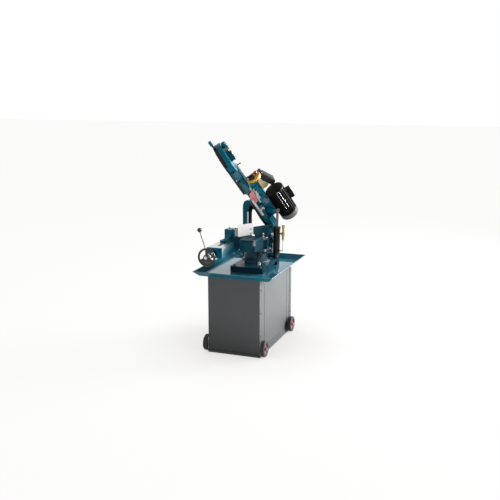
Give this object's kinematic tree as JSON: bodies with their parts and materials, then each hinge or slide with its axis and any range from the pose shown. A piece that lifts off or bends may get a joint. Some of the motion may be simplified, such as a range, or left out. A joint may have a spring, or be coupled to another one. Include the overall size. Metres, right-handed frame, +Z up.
{
  "type": "metal cutting band saw",
  "caption": "Metal cutting band saw with a tilting, swivelling bow on a wheeled cabinet, with coolant tray, vise, hydraulic feed and geared motor.",
  "frame": {"origin": "centre of the cabinet's foot, on the floor", "axes": "+X from the vise handwheel end to the head pivot end, -Y the operator's side, +Z up"},
  "size_m": [0.9685, 0.634, 1.6025],
  "materials": {
    "cabinet_paint": "satin powder coat",
    "tray_paint": "gloss paint",
    "teal_paint": "gloss machine paint",
    "swivel_paint": "grey-blue machine paint",
    "bright_steel": "machined",
    "black_paint": "black paint",
    "tyre_rubber": "matt rubber",
    "red_hub": "red paint",
    "cast_grey": "machined casting",
    "pale_sheet": "light grey paint",
    "red_paint": "red paint",
    "yellow_plastic": "moulded",
    "black_plastic": "moulded",
    "red_plastic": "moulded",
    "grey_plastic": "moulded",
    "brass": "turned",
    "chrome": "ground",
    "zinc_sheet": "yellow passivated sheet"
  },
  "bodies": {
    "stand": {"cabinet": "cabinet_paint", "wheel_brackets": "cast_grey", "tray": "tray_paint", "base_block": "swivel_paint", "king_post": "bright_steel", "vise_table": "teal_paint", "table_plate": "bright_steel", "vise_bed": "teal_paint", "screw_bearing": "teal_paint", "fixed_jaw": "teal_paint", "fixed_jaw_plate": "bright_steel", "gooseneck_post": "teal_paint"},
    "wheel_near_front": {"tyre_near_front": "tyre_rubber", "road_hub_near_front": "red_hub"},
    "wheel_near_back": {"tyre_near_back": "tyre_rubber", "road_hub_near_back": "red_hub"},
    "wheel_far_front": {"tyre_far_front": "tyre_rubber", "road_hub_far_front": "red_hub"},
    "wheel_far_back": {"tyre_far_back": "tyre_rubber", "road_hub_far_back": "red_hub"},
    "swivel": {"swivel_arm": "swivel_paint", "guard_bracket": "teal_paint", "guard_plate": "pale_sheet"},
    "swivel_clamp": {"swivel_lock": "black_plastic"},
    "saw_head": {"bow_frame": "teal_paint", "drive_cover": "black_paint", "idler_cover": "black_paint", "blade": "bright_steel", "pivot_shaft": "bright_steel", "gear_case": "teal_paint", "motor_body": "black_paint", "fan_cover": "grey_plastic", "terminal_box": "black_plastic", "control_box": "black_plastic", "control_bracket": "zinc_sheet", "switch_plate": "yellow_plastic", "rear_guide": "bright_steel", "blade_shield": "teal_paint", "tension_bracket": "cast_grey"},
    "drive": {"drive_wheel": "cast_grey"},
    "idler": {"idler_wheel": "cast_grey"},
    "guide": {"guide_bar": "bright_steel", "front_guide": "bright_steel", "guide_shield": "red_paint", "blade_guard": "teal_paint"},
    "guide_clamp": {"guide_lock": "black_plastic"},
    "tensioner": {"tension_knob": "teal_paint"},
    "selector": {"selector_knob": "black_plastic"},
    "stop": {"stop_button": "red_plastic"},
    "feed_cylinder": {"cylinder_tube": "black_paint", "valve_block": "brass", "feed_pipe": "bright_steel"},
    "feed_valve": {"valve_knob": "black_plastic"},
    "feed_rod": {"piston_rod": "chrome"},
    "jaw": {"movable_jaw": "black_paint", "jaw_plate": "bright_steel"},
    "screw": {"vise_screw": "bright_steel", "handwheel": "black_plastic"},
    "lever": {"clamp_lever": "chrome", "lever_ball": "black_plastic"}
  },
  "joints": [
    {"name": "wheel_near_front_spin", "type": "hinge", "parent": "stand", "child": "wheel_near_front", "pos_m": [-0.355, -0.2325, 0.0645], "axis": [0, 1, 0], "continuous": true},
    {"name": "wheel_near_back_spin", "type": "hinge", "parent": "stand", "child": "wheel_near_back", "pos_m": [-0.355, 0.2325, 0.0645], "axis": [0, 1, 0], "continuous": true},
    {"name": "wheel_far_front_spin", "type": "hinge", "parent": "stand", "child": "wheel_far_front", "pos_m": [0.314, -0.2325, 0.0645], "axis": [0, 1, 0], "continuous": true},
    {"name": "wheel_far_back_spin", "type": "hinge", "parent": "stand", "child": "wheel_far_back", "pos_m": [0.314, 0.2325, 0.0645], "axis": [0, 1, 0], "continuous": true},
    {"name": "head_swivel", "type": "hinge", "parent": "stand", "child": "swivel", "pos_m": [0.048, -0.02, 0.7], "axis": [0, 0, 1], "range_deg": [0, 30]},
    {"name": "swivel_clamp_turn", "type": "hinge", "parent": "swivel", "child": "swivel_clamp", "pos_m": [-0.04528, -0.07829, 0.7163], "axis": [0.848, 0.5299, 0], "range_deg": [0, 45]},
    {"name": "head_tilt", "type": "hinge", "parent": "swivel", "child": "saw_head", "pos_m": [0.19955, -0.1075, 0.88], "axis": [0.5, 0.866, 0], "range_deg": [-50, 0]},
    {"name": "drive_spin", "type": "hinge", "parent": "saw_head", "child": "drive", "pos_m": [0.22087, -0.0036, 1.0216], "axis": [0.2841, -0.7929, 0.5391], "continuous": true},
    {"name": "idler_spin", "type": "hinge", "parent": "saw_head", "child": "idler", "pos_m": [-0.09644, 0.1796, 1.45824], "axis": [0.2841, -0.7929, 0.5391], "continuous": true},
    {"name": "guide_slide", "type": "slide", "parent": "saw_head", "child": "guide", "axis": [-0.5567, 0.3214, 0.766], "range_m": [0, 0.06]},
    {"name": "guide_clamp_turn", "type": "hinge", "parent": "saw_head", "child": "guide_clamp", "pos_m": [0.16262, 0.0932, 1.29112], "axis": [0.2841, -0.7929, 0.5391], "range_deg": [-50, 50]},
    {"name": "tension_turn", "type": "hinge", "parent": "saw_head", "child": "tensioner", "pos_m": [-0.1454, 0.17454, 1.57491], "axis": [-0.5567, 0.3214, 0.766], "range_deg": [-360, 360]},
    {"name": "selector_turn", "type": "hinge", "parent": "saw_head", "child": "selector", "pos_m": [-0.04227, -0.01828, 1.31302], "axis": [-0.5567, 0.3214, 0.766], "range_deg": [-45, 45]},
    {"name": "stop_press", "type": "slide", "parent": "saw_head", "child": "stop", "axis": [0.5567, -0.3214, -0.766], "range_m": [0, 0.005], "stiffness_N_per_m": 300},
    {"name": "cylinder_swing", "type": "hinge", "parent": "swivel", "child": "feed_cylinder", "pos_m": [0.09073, -0.174, 0.685], "axis": [0.5, 0.866, 0], "range_deg": [-25, 0]},
    {"name": "rod_slide", "type": "slide", "parent": "feed_cylinder", "child": "feed_rod", "axis": [0.0238, -0.0137, 0.9996], "range_m": [-0.084, 0]},
    {"name": "valve_turn", "type": "hinge", "parent": "feed_cylinder", "child": "feed_valve", "pos_m": [0.05917, -0.24238, 0.93491], "axis": [0.0238, -0.0137, 0.9996], "range_deg": [0, 270]},
    {"name": "screw_turn", "type": "hinge", "parent": "stand", "child": "screw", "pos_m": [-0.52, 0.161, 0.775], "axis": [1, 0, 0], "range_deg": [-2880, 0]},
    {"name": "jaw_slide", "type": "slide", "parent": "stand", "child": "jaw", "axis": [1, 0, 0], "range_m": [-0.081, 0]},
    {"name": "lever_swing", "type": "hinge", "parent": "stand", "child": "lever", "pos_m": [-0.492, 0.161, 0.775], "axis": [1, 0, 0], "range_deg": [-60, 18]}
  ],
  "couplings": [
    {"joint": "idler_spin", "follows": "drive_spin", "ratio": 1},
    {"joint": "cylinder_swing", "follows": "head_tilt", "ratio": 0.4571},
    {"joint": "rod_slide", "follows": "head_tilt", "m_per_rad": 0.09314},
    {"joint": "jaw_slide", "follows": "screw_turn", "m_per_rad": 0.0015915}
  ]
}
